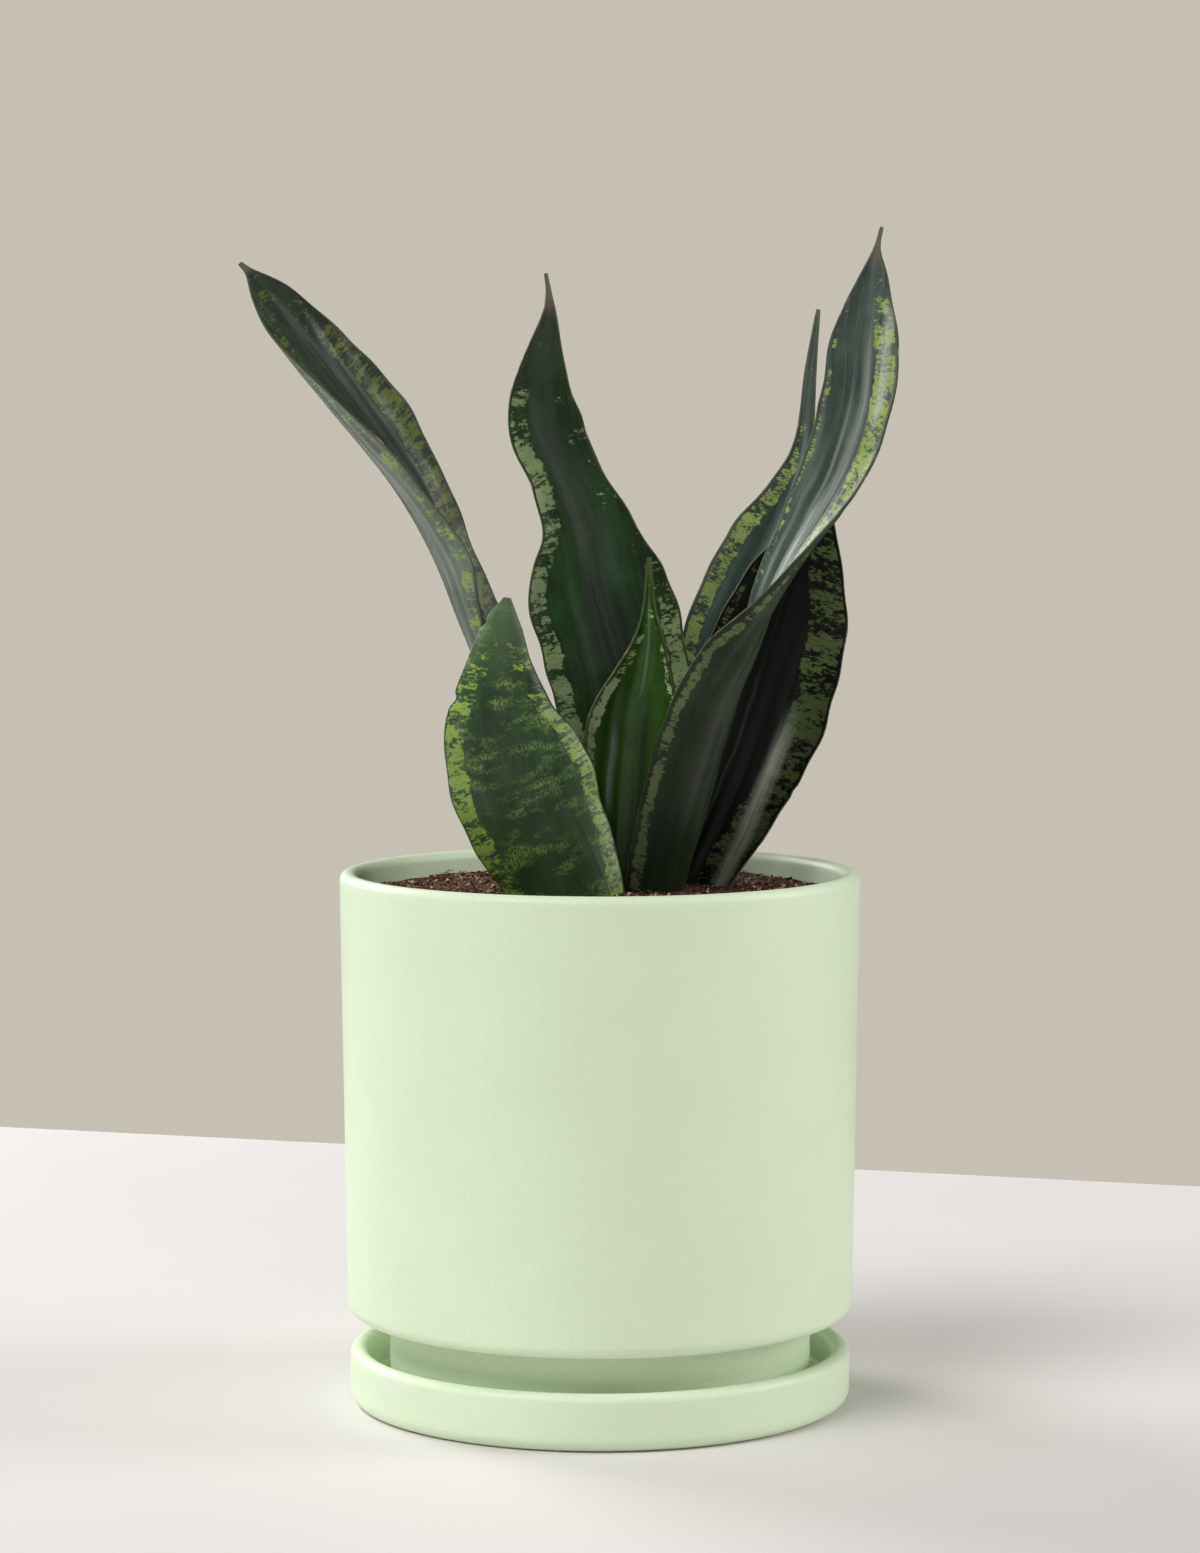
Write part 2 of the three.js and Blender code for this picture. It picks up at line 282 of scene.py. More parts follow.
def rhizome_skin():
    """Fleshy underground stem: tan skin with darker rings where old scales sat."""
    material, tree = blank_material("rhizome_skin")
    place = add(tree, "ShaderNodeTexCoord", {})["Object"]
    rings = add(tree, "ShaderNodeTexWave", {
        "Vector": place, "Scale": 1 / (24 * MM), "Distortion": 4.0, "Detail": 3.0},
        bands_direction="X")[1]
    earth = add(tree, "ShaderNodeTexNoise", {
        "Vector": place, "Scale": 1 / (4 * MM), "Detail": 4.0})[0]
    colour = add(tree, "ShaderNodeMix", {
        0: rings, 6: linear("#b98a5a"), 7: linear("#8a6240")}, data_type="RGBA")[2]
    soiled = add(tree, "ShaderNodeMapRange", {0: earth, 1: 0.55, 2: 0.7})[0]
    colour = add(tree, "ShaderNodeMix", {
        0: soiled, 6: colour, 7: linear("#3b2620")}, data_type="RGBA")[2]
    relief = add(tree, "ShaderNodeBump", {
        "Strength": 0.5, "Distance": 0.3 * MM, "Height": earth})[0]
    shader = add(tree, "ShaderNodeBsdfPrincipled", {
        "Base Color": colour, "Roughness": 0.7, "IOR": 1.42, "Normal": relief})[0]
    finish_material(tree, shader)
    return material


# How each face of a leaf looks. Widths and lengths are in mm.
#   margin   width of the marbled strip at the left and the right, seen on that face with the tip up
#   top      how far below the tip each strip starts
#   solid    how unbroken the strips are, and rind how wide the green line outside each of them is
#   bands    strength of the pale cross-bands in the middle, and bloom of the lengthwise wax,
#            which is partly a painted sheen
#   shade    how dark the blade gets towards the soil, a painted shade in the colour foot
#   crown    how far down from the tip it is greyed, and dry how much of the tip has dried
#   gloss    roughness of the skin, and shine how much it reflects
#   streaks  (across, half width, from, to, strength, colour), measured from the keel and up from
#            where the leaf begins; across is positive on the right of an inner face. Pale streaks
#            are painted sheen and glare on the wax, dark ones painted shade
MATURE = {
    "green": "#26402b", "deep": "#18291c", "band": "#56703f", "pale": "#7f9646", "sheen_wax": "#97a59b",
    "foot": "#16260f", "tip": "#4d5f4c", "margin": (6, 6), "top": (14, 14), "solid": 0.5,
    "bands": 0.5, "sheen_bloom": 0.15, "shade": 0.35, "crown": 12, "dry": 0, "rind": 0.7, "gloss": 0.34,
    "shine": 0.4, "streaks": (), "seed": 1,
}
LOOKS = {
    "leaf_left_tall": (
        {"green": "#333f33", "deep": "#242f25", "pale": "#616b38", "margin": (6.5, 9),
         "top": (12, 22), "solid": 0.54, "sheen_bloom": 0.05, "bands": 0.05, "shade": 0.2,
         "tip": "#2e3830", "dry": 5, "shine": 0.25, "seed": 11},
        # Outer face: the pale streaks are painted sheen on the wax.
        {"green": "#66766a", "deep": "#4c5b4f", "pale": "#8ea257", "sheen_wax": "#b4bbb4",
         "margin": (4.5, 4.5), "top": (20, 40), "solid": 0.51, "sheen_bloom": 0.3, "bands": 0.0,
         "shade": 0.1, "dry": 5, "shine": 0.5, "seed": 12,
         "streaks": ((0, 4.5, 0, 200, 0.85, "#d0d5cd"), (-8.5, 1.8, 0, 190, 0.35, "#aab2a8"))},
    ),
    "leaf_middle_tall": (
        # Inner face: the dark streak over the keel is painted shade, the grey and pale ones painted
        # sheen.
        {"green": "#23431f", "deep": "#162a12", "pale": "#7f9066", "sheen_wax": "#59625c",
         "margin": (6.5, 6.5), "top": (34, 104), "solid": 0.57, "rind": 0.4, "sheen_bloom": 0.1,
         "bands": 0.0, "shade": 0.55, "foot": "#152c08", "tip": "#3f423d", "crown": 40, "dry": 14,
         "shine": 0.3, "seed": 21,
         "streaks": ((-1, 9, 15, 155, 0.95, "#0b120a"), (-3, 5.5, 125, 195, 0.4, "#4d4e4a"),
                     (6, 3.0, 120, 180, 0.2, "#56685e"))},
        {"margin": (7, 7), "dry": 14, "seed": 22},
    ),
    "leaf_front_short": (
        {"margin": (6, 7), "seed": 31},
        {"green": "#2d4a2a", "deep": "#1a331c", "band": "#7a954e", "pale": "#8aa64a",
         "margin": (8, 6.5), "top": (18, 16), "solid": 0.56, "bands": 1.0, "sheen_bloom": 0.06,
         "shade": 0.25, "foot": "#2d4a1b", "tip": "#5a7150", "crown": 26, "seed": 32},
    ),
    "leaf_heart_young": (
        # Inner face: the dark streak right of the keel is painted shade, the bluish and pale ones
        # painted sheen; its shade paints a dark base.
        {"green": "#31570f", "deep": "#1f3d09", "band": "#2f6a10", "pale": "#a3b08c",
         "sheen_wax": "#4d7a4a", "foot": "#162803", "tip": "#3a6a28", "margin": (4, 2.5), "top": (24, 22),
         "solid": 0.6, "bands": 0.05, "sheen_bloom": 0.05, "shade": 0.75, "gloss": 0.3, "seed": 41,
         "streaks": ((3.5, 5, 0, 100, 0.9, "#10260a"), (-7, 1.8, 52, 84, 0.4, "#7fa09a"),
                     (0, 0.8, 88, 128, 0.3, "#7fae84"))},
        {"green": "#2a560c", "deep": "#1c4206", "pale": "#8b9c74", "foot": "#20380c",
         "margin": (4, 4), "bands": 0.2, "seed": 42},
    ),
    "leaf_right_tall": (
        # Inner face: the pale streaks are painted sheen on the wax, the widest one near the tip a
        # painted glare.
        {"green": "#465a4f", "deep": "#30413a", "pale": "#93a65a", "sheen_wax": "#9da59f",
         "margin": (1.6, 8.5), "top": (26, 12), "solid": 0.55, "sheen_bloom": 0.25, "bands": 0.0,
         "shade": 0.2, "tip": "#53584f", "dry": 13, "seed": 51,
         "streaks": ((1.2, 2.4, 70, 235, 0.6, "#a9ada8"), (-3.6, 1.7, 70, 215, 0.5, "#969c95"),
                     (-8, 1.2, 100, 190, 0.35, "#8d938c"), (7.5, 3.2, 185, 232, 0.5, "#cfd3cc"))},
        # Outer face: the grey streak is painted sheen and the dark one painted shade; its shade
        # paints a dark foot.
        {"green": "#2c3a2a", "deep": "#1d2a1a", "band": "#36432e", "pale": "#626a4a",
         "sheen_wax": "#3d4235", "foot": "#10180a", "margin": (4.4, 1.0), "top": (98, 60), "solid": 0.6,
         "rind": 1.4, "sheen_bloom": 0.1, "bands": 0.05, "shade": 0.7, "dry": 13, "shine": 0.14,
         "seed": 52,
         "streaks": ((3, 7, 50, 112, 0.35, "#4d4f46"), (-9, 5, 0, 120, 0.4, "#1d2c12"))},
    ),
    "leaf_right_broad": (
        # Inner face: near black as painted shade, because it stands in shadow; the pale streak low
        # on the right is a painted highlight and the grey ones painted sheen.
        {"green": "#0b0f08", "deep": "#040603", "band": "#171d0c", "pale": "#465130",
         "sheen_wax": "#242428", "foot": "#040603", "tip": "#1a200f", "margin": (3, 13), "top": (30, 8),
         "solid": 0.54, "sheen_bloom": 0.08, "bands": 0.1, "shade": 0, "shine": 0.12, "seed": 61,
         "streaks": ((-3, 1.2, 30, 110, 0.3, "#4a484c"), (-7, 0.9, 20, 100, 0.25, "#45434a"),
                     (11.5, 4.5, 0, 98, 0.85, "#a3a99b"))},
        {"margin": (7, 7), "seed": 62},
    ),
    "leaf_right_narrow": (
        # Inner face: the grey streaks are painted sheen on the wax.
        {"green": "#41544a", "deep": "#2f4138", "pale": "#9bae68", "sheen_wax": "#9aa29c",
         "margin": (6.5, 3), "top": (30, 60), "solid": 0.55, "sheen_bloom": 0.2, "bands": 0.0,
         "shade": 0.2, "dry": 3, "seed": 71,
         "streaks": ((0, 1.8, 70, 200, 0.6, "#989e98"), (4, 1.0, 70, 190, 0.4, "#868d87"))},
        {"margin": (6, 6), "dry": 3, "seed": 72},
    ),
}


def leaf_face(name, look, settings, mirrored):
    """Waxy leaf skin: marbled pale margins, mottled cross-bands, lengthwise wax, a dry edge,
    with painted sheen on the wax and painted shade low down and in dark streaks.
    """
    look = {**MATURE, **look}
    material, tree = blank_material(name)
    blade = add(tree, "ShaderNodeAttribute", {}, attribute_name="blade")["Vector"]
    to_tip = add(tree, "ShaderNodeAttribute", {}, attribute_name="to_tip")["Fac"]
    across, along, edge = add(tree, "ShaderNodeSeparateXYZ", {0: blade})
    place = add(tree, "ShaderNodeTexCoord", {})["Object"]
    height = add(tree, "ShaderNodeSeparateXYZ", {0: place})[2]
    soil_z, clear_z = SOIL_HIGH.z, SOIL_HIGH.z + SHADED_HEIGHT

    def pattern(layer, size_across, size_along, detail):
        """A growth pattern laid along the blade, with features of that size in mm."""
        stretch = (1 / (size_across * MM), 1 / (size_along * MM), 0)
        place = add(tree, "ShaderNodeMapping", {
            "Vector": blade, "Location": (0, 0, look["seed"] * 7.3 + layer * 3.1),
            "Scale": stretch})[0]
        return add(tree, "ShaderNodeTexNoise", {
            "Vector": place, "Scale": 1.0, "Detail": detail, "Roughness": 0.68})[0]

    def sides(pair):
        """The left number of a pair on the left half of the blade, the right one on the right."""
        left, right = reversed(pair) if mirrored else pair
        return add(tree, "ShaderNodeMapRange", {
            0: across, 1: -2 * MM, 2: 2 * MM, 3: left * MM, 4: right * MM})[0]

    # The strip's inner boundary is ragged, and wanders by a millimetre or two.
    drift = pattern(2, 400, 16, 2.0)
    wander = add(tree, "ShaderNodeMath", {
        0: pattern(0, 3.0, 2.0, 4.0), 1: 4.6 * MM, 2: -4.8 * MM}, operation="MULTIPLY_ADD")[0]
    wander = add(tree, "ShaderNodeMath", {
        0: drift, 1: 5 * MM, 2: wander}, operation="MULTIPLY_ADD")[0]
    width = add(tree, "ShaderNodeMath", {0: wander, 1: sides(look["margin"])}, operation="ADD")[0]
    inside = add(tree, "ShaderNodeMath", {0: width, 1: edge}, operation="SUBTRACT")[0]
    in_strip = add(tree, "ShaderNodeMapRange", {0: inside, 1: -0.2 * MM, 2: 0.2 * MM})[0]
    # Marbling breaks the strip up into dendrites 1 to 4 mm wide. It thins out towards the tip and
    # at the green rind along the edge, and darker breaks 6 mm apart run right across it.
    faded = add(tree, "ShaderNodeMath", {0: sides(look["top"]), 1: to_tip}, operation="SUBTRACT")[0]
    faded = add(tree, "ShaderNodeMapRange", {0: faded, 1: -22 * MM, 2: 8 * MM, 4: 0.22})[0]
    rind = add(tree, "ShaderNodeMapRange", {
        0: edge, 1: 0.7 * look["rind"] * MM, 2: 1.6 * look["rind"] * MM, 3: 0.3, 4: 0.0})[0]
    bar = add(tree, "ShaderNodeMath", {0: faded, 1: rind}, operation="ADD")[0]
    bar = add(tree, "ShaderNodeMath", {0: bar, 1: 1.15 - look["solid"]}, operation="ADD")[0]
    breaks = add(tree, "ShaderNodeMapRange", {
        0: pattern(8, 30, 5.5, 3.0), 1: 0.35, 2: 0.65, 4: 0.24})[0]
    bar = add(tree, "ShaderNodeMath", {0: bar, 1: breaks}, operation="SUBTRACT")[0]
    marbling = add(tree, "ShaderNodeMath", {
        0: pattern(1, 4.2, 2.3, 4.0), 1: 0.55, 2: -0.2}, operation="MULTIPLY_ADD")[0]
    marbling = add(tree, "ShaderNodeMath", {
        0: pattern(11, 1.9, 0.9, 5.0), 1: 0.85, 2: marbling}, operation="MULTIPLY_ADD")[0]
    over = add(tree, "ShaderNodeMath", {0: marbling, 1: bar}, operation="SUBTRACT")[0]
    pale_share = add(tree, "ShaderNodeMapRange", {0: over, 1: -0.04, 2: 0.05})[0]
    pale_share = add(tree, "ShaderNodeMath", {0: in_strip, 1: pale_share}, operation="MULTIPLY")[0]

    # The middle of the blade: two greens, fine lengthwise fibres and mottled cross-bands.
    fibres = pattern(4, 0.9, 40, 3.0)
    mottle = pattern(6, 0.55, 1.2, 3.0)
    patches = add(tree, "ShaderNodeMapRange", {0: pattern(3, 14, 22, 3.0), 1: 0.35, 2: 0.65})[0]
    colour = add(tree, "ShaderNodeMix", {
        0: patches, 6: linear(look["deep"]), 7: linear(look["green"])}, data_type="RGBA")[2]
    lines = add(tree, "ShaderNodeMapRange", {0: fibres, 1: 0.3, 2: 0.7, 3: -0.1, 4: 0.1})[0]
    grains = add(tree, "ShaderNodeMapRange", {0: mottle, 1: 0.3, 2: 0.7, 3: 0.86, 4: 1.14})[0]
    tint = add(tree, "ShaderNodeMath", {0: lines, 1: grains}, operation="ADD")[0]
    colour = add(tree, "ShaderNodeVectorMath", {0: colour, "Scale": tint}, operation="SCALE")[0]
    banded = add(tree, "ShaderNodeMapRange", {0: pattern(5, 15, 6.5, 4.0), 1: 0.5, 2: 0.66})[0]
    specks = add(tree, "ShaderNodeMapRange", {0: mottle, 1: 0.4, 2: 0.58, 4: look["bands"]})[0]
    share = add(tree, "ShaderNodeMath", {0: banded, 1: specks}, operation="MULTIPLY")[0]
    colour = add(tree, "ShaderNodeMix", {
        0: share, 6: colour, 7: linear(look["band"])}, data_type="RGBA")[2]
    # Lengthwise wax bloom, partly a painted sheen: pale grey streaks standing in for gloss.
    sheen_bloom = add(tree, "ShaderNodeMapRange", {
        0: pattern(7, 2.6, 110, 2.0), 1: 0.45, 2: 0.72, 4: look["sheen_bloom"]},
        interpolation_type="SMOOTHSTEP")[0]
    colour = add(tree, "ShaderNodeMix", {
        0: sheen_bloom, 6: colour, 7: linear(look["sheen_wax"])}, data_type="RGBA")[2]
    # Painted shade: the blade darkens towards the soil, where its neighbours shade it.
    low = add(tree, "ShaderNodeMapRange", {
        0: height, 1: soil_z, 2: clear_z, 3: look["shade"], 4: 0.0})[0]
    colour = add(tree, "ShaderNodeMix", {
        0: low, 6: colour, 7: linear(look["foot"])}, data_type="RGBA")[2]
    greyed = add(tree, "ShaderNodeMapRange", {
        0: to_tip, 1: 2 * MM, 2: look["crown"] * MM, 3: 0.75, 4: 0.0})[0]
    colour = add(tree, "ShaderNodeMix", {
        0: greyed, 6: colour, 7: linear(look["tip"])}, data_type="RGBA")[2]

    # The marbled strip over it, yellower in places and darkened with painted shade towards the
    # soil.
    share = add(tree, "ShaderNodeMapRange", {0: drift, 1: 0.35, 2: 0.65, 3: 0.84, 4: 1.1})[0]
    pale = add(tree, "ShaderNodeVectorMath", {
        0: linear(look["pale"])[:3], "Scale": share}, operation="SCALE")[0]
    # Painted shade on the strip towards the soil, like the blade's.
    strip_shade = add(tree, "ShaderNodeMapRange", {
        0: height, 1: soil_z, 2: clear_z, 3: 0.9 * look["shade"], 4: 0.0})[0]
    pale = add(tree, "ShaderNodeMix", {
        0: strip_shade, 6: pale, 7: linear(look["foot"])}, data_type="RGBA")[2]
    colour = add(tree, "ShaderNodeMix", {0: pale_share, 6: colour, 7: pale}, data_type="RGBA")[2]

    # Long streaks broken up by the fibres: the pale ones are grey wax with painted sheen and glare,
    # the dark ones painted shade.
    bent = add(tree, "ShaderNodeMath", {
        0: pattern(9, 500, 26, 2.0), 1: 3 * MM, 2: -1.5 * MM}, operation="MULTIPLY_ADD")[0]
    frayed = add(tree, "ShaderNodeMapRange", {0: fibres, 1: 0.35, 2: 0.6, 3: 0.55})[0]
    for offset, half_width, start, end, strength, tone in look["streaks"]:
        fade = 0.25 * (end - start)
        away = add(tree, "ShaderNodeMath", {0: across, 1: -offset * MM}, operation="ADD")[0]
        away = add(tree, "ShaderNodeMath", {0: away, 1: bent}, operation="ADD")[0]
        away = add(tree, "ShaderNodeMath", {0: away}, operation="ABSOLUTE")[0]
        share = frayed
        for value, low, high, at_low, at_high in (
                (away, 0.0, half_width, strength, 0.0),
                (along, start, start + fade, 0.0, 1.0),
                (along, end - fade, end, 1.0, 0.0)):
            part = add(tree, "ShaderNodeMapRange", {
                0: value, 1: low * MM, 2: high * MM, 3: at_low, 4: at_high},
                interpolation_type="SMOOTHSTEP")[0]
            share = add(tree, "ShaderNodeMath", {0: share, 1: part}, operation="MULTIPLY")[0]
        colour = add(tree, "ShaderNodeMix", {
            0: share, 6: colour, 7: linear(tone)}, data_type="RGBA")[2]

    # A thin line along the edge that has dried in places, and the dried spine at the tip.
    worn = add(tree, "ShaderNodeMapRange", {0: pattern(10, 60, 9, 3.0), 1: 0.5, 2: 0.6, 4: 0.8})[0]
    outermost = add(tree, "ShaderNodeMapRange", {
        0: edge, 1: 0.1 * MM, 2: 0.35 * MM, 3: 1.0, 4: 0.0})[0]
    line = add(tree, "ShaderNodeMath", {0: worn, 1: outermost}, operation="MULTIPLY")[0]
    colour = add(tree, "ShaderNodeMix", {
        0: line, 6: colour, 7: tuple(settings.edge_line)}, data_type="RGBA")[2]
    if look["dry"]:
        spine = add(tree, "ShaderNodeMapRange", {
            0: to_tip, 1: 0.55 * look["dry"] * MM, 2: look["dry"] * MM, 3: 0.9, 4: 0.0})[0]
        colour = add(tree, "ShaderNodeMix", {
            0: spine, 6: colour, 7: tuple(settings.dry)}, data_type="RGBA")[2]

    # Wax makes a satin skin; fibres 0.9 mm apart break its gloss into long streaks.
    dull = add(tree, "ShaderNodeMapRange", {
        0: fibres, 1: 0.3, 2: 0.7, 3: look["gloss"] - 0.06, 4: look["gloss"] + 0.14})[0]
    relief = add(tree, "ShaderNodeBump", {
        "Strength": 0.5, "Distance": 0.12 * MM, "Height": fibres})[0]
    relief = add(tree, "ShaderNodeBump", {
        "Strength": 0.3, "Distance": 0.08 * MM, "Height": mottle, "Normal": relief})[0]
    shader = add(tree, "ShaderNodeBsdfPrincipled", {
        "Base Color": colour, "Roughness": dull, "IOR": 1.45, "Specular IOR Level": look["shine"],
        "Normal": relief})[0]
    finish_material(tree, shader)
    return material


def leaf_edge(settings):
    """The rim of a leaf: dark green, dried in places to a thin reddish line with paler spots."""
    material, tree = blank_material("dry_leaf_edge")
    place = add(tree, "ShaderNodeTexCoord", {})["Object"]
    spots = add(tree, "ShaderNodeTexNoise", {
        "Vector": place, "Scale": 1 / (7 * MM), "Detail": 4.0})[0]
    share = add(tree, "ShaderNodeMapRange", {0: spots, 1: 0.6, 2: 0.7})[0]
    colour = add(tree, "ShaderNodeMix", {
        0: share, 6: tuple(settings.edge_line), 7: linear("#a08466")}, data_type="RGBA")[2]
    fresh = add(tree, "ShaderNodeMapRange", {0: spots, 1: 0.56, 2: 0.64, 3: 1.0, 4: 0.25})[0]
    colour = add(tree, "ShaderNodeMix", {
        0: fresh, 6: colour, 7: linear("#3b4929")}, data_type="RGBA")[2]
    shader = add(tree, "ShaderNodeBsdfPrincipled", {
        "Base Color": colour, "Roughness": 0.6, "IOR": 1.45})[0]
    finish_material(tree, shader)
    return material


def table_top(settings):
    """Sprayed matte board: off-white, nearly even."""
    material, tree = blank_material("matte_table_board")
    place = add(tree, "ShaderNodeTexCoord", {})["Object"]
    drift = add(tree, "ShaderNodeTexNoise", {"Vector": place, "Scale": 6.0, "Detail": 2.0})[0]
    share = add(tree, "ShaderNodeMapRange", {0: drift, 1: 0.3, 2: 0.7})[0]
    shadowed = [c * 0.97 for c in settings.floor[:3]] + [1]
    colour = add(tree, "ShaderNodeMix", {
        0: share, 6: tuple(settings.floor), 7: shadowed}, data_type="RGBA")[2]
    shader = add(tree, "ShaderNodeBsdfPrincipled", {
        "Base Color": colour, "Roughness": 0.7, "IOR": 1.45})[0]
    finish_material(tree, shader)
    return material


# ---------------------------------------------------------------- modelling

def begin(name):
    """Names the primitive that was just added and goes into its edit mode with nothing selected."""
    piece = bpy.context.object
    piece.name = piece.data.name = name
    bpy.ops.object.transform_apply(location=True, rotation=True, scale=True)
    bpy.ops.object.mode_set(mode="EDIT")
    bpy.ops.mesh.select_all(action="DESELECT")
    return piece


def choose(piece, kind, test):
    """Selects only the faces or edges that pass the test."""
    bpy.ops.mesh.select_mode(type=kind)
    bpy.ops.mesh.select_all(action="DESELECT")
    mesh = bmesh.from_edit_mesh(piece.data)
    elements = mesh.faces if kind == "FACE" else mesh.edges
    chosen = [e for e in elements if test([v.co for v in e.verts])]
    if not chosen:
        raise RuntimeError(f"nothing to select on {piece.name}")
    for element in chosen:
        element.select_set(True)
    bmesh.update_edit_mesh(piece.data)


def disc(z, radius=None):
    """A test for the flat round face at that height."""
    def test(points):
        flat = all(abs(p.z - z) < LEVEL_ERROR for p in points)
        whole = len(points) == SIDES
        fits = radius is None or abs(points[0].xy.length - radius) < RADIUS_ERROR
        return flat and whole and fits
    return test


def ring(z, radius):
    """A test for the edges of one circle."""
    def test(points):
        return all(abs(p.z - z) < LEVEL_ERROR and abs(p.xy.length - radius) < RADIUS_ERROR
                   for p in points)
    return test


def widen(share, z):
    """Scales what is selected about the axis."""
    bpy.ops.transform.resize(value=(share, share, 1), center_override=(0, 0, z))


def raise_face(distance):
    """Extrudes the selected face straight up, or down where the distance is negative."""
    bpy.ops.mesh.extrude_region_move(TRANSFORM_OT_translate={"value": (0, 0, distance)})


def round_edges(piece, edges):
    """Bevels circles, each given as its height, its radius, the bevel's size and its segments."""
    for z, radius, size, segments in edges:
        choose(piece, "EDGE", ring(z, radius))
        bpy.ops.mesh.bevel(offset=size, segments=segments, affect="EDGES")


def slice_at(*heights):
    """Cuts rows of faces at those heights, so that long faces shade well."""
    for z in heights:
        bpy.ops.mesh.select_all(action="SELECT")
        bpy.ops.mesh.bisect(plane_co=(0, 0, z), plane_no=(0, 0, 1))
        bpy.ops.mesh.select_all(action="DESELECT")


def end(piece, materials, slot, node=None, smooth=40):
    """Leaves edit mode, turns all faces out, smooths and hands the piece to the frame."""
    if piece.mode == "EDIT":
        bpy.ops.mesh.select_all(action="SELECT")
        bpy.ops.mesh.remove_doubles(threshold=0.005 * MM)
        bpy.ops.mesh.normals_make_consistent(inside=False)
        bpy.ops.object.mode_set(mode="OBJECT")
    if not piece.data.materials:
        for material in materials:
            piece.data.materials.append(material)
    bpy.ops.object.select_all(action="DESELECT")
    piece.select_set(True)
    bpy.context.view_layer.objects.active = piece
    bpy.ops.object.shade_smooth_by_angle(angle=math.radians(smooth))
    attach(piece, "root")
    if node:
        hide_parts(node)
    bpy.ops.object.select_all(action="DESELECT")


def paint_faces(piece, index, test):
    """Gives the faces that pass the test another of the piece's materials."""
    for face in piece.data.polygons:
        if test(face.center, face.normal):
            face.material_index = index


class PLANT_OT_pot(bpy.types.Operator):
    """Turns the pot: tapered body, round rim, hollow foot and drainage hole."""
    bl_idname = "plant.pot"
    bl_label = "Pot"

    def execute(self, context):
        pot = context.scene.plant.pot
        foot_z, rim_z = POT_LOW.z, POT_HIGH.z
        body_z = rim_z - pot.body_height
        floor_z = body_z + pot.floor
        foot_radius = pot.base_radius - pot.foot_setback
        foot_rim, recess_z, drain = 7 * MM, foot_z + 21 * MM, 6 * MM
        recess = foot_radius - foot_rim
        inner_rim, inner_base = pot.rim_radius - pot.wall, pot.base_radius - pot.wall
        bpy.ops.object.select_all(action="DESELECT")
        bpy.ops.mesh.primitive_cylinder_add(
            vertices=SIDES, radius=pot.base_radius, depth=pot.body_height,
            location=(0, 0, (body_z + rim_z) / 2))
        piece = begin("ceramic_pot")
        choose(piece, "FACE", disc(rim_z))
        widen(pot.rim_radius / pot.base_radius, rim_z)
        bpy.ops.mesh.inset(thickness=pot.wall)
        raise_face(floor_z - rim_z)
        widen(inner_base / inner_rim, floor_z)
        bpy.ops.mesh.inset(thickness=inner_base - drain)
        choose(piece, "FACE", disc(body_z))
        bpy.ops.mesh.inset(thickness=pot.foot_setback)
        raise_face(foot_z - body_z)
        bpy.ops.mesh.inset(thickness=foot_rim)
        raise_face(recess_z - foot_z)
        bpy.ops.mesh.inset(thickness=recess - drain)
        holes = [disc(floor_z, drain), disc(recess_z, drain)]
        choose(piece, "FACE", lambda points: any(hole(points) for hole in holes))
        bpy.ops.mesh.bridge_edge_loops()
        lip = pot.wall / 2 - ROUNDING_SPARE
        round_edges(piece, (
            (rim_z, pot.rim_radius, lip, 7), (rim_z, inner_rim, lip, 7),
            (body_z, pot.base_radius, 4 * MM, 8), (floor_z, inner_base, 7 * MM, 6),
            (foot_z, foot_radius, 6 * MM, 8), (foot_z, recess, 0.6 * MM, 3),
            (body_z, foot_radius, 1.5 * MM, 4), (recess_z, recess, 3 * MM, 4),
            (floor_z, drain, 1.5 * MM, 4)))
        slice_at(rim_z - BELOW_LIP, rim_z - 40 * MM, rim_z - 90 * MM, body_z + 6 * MM)
        glaze, clay = matte_glaze(pot), bare_clay(pot)
        bpy.ops.object.mode_set(mode="OBJECT")
        piece.data.materials.append(glaze)
        piece.data.materials.append(clay)
        paint_faces(piece, 1, lambda place, normal: place.z < foot_z + 0.2 * MM and normal.z < -0.9)
        bpy.ops.object.mode_set(mode="EDIT")
        end(piece, (), "glazed_pot", "pot")
        return {"FINISHED"}


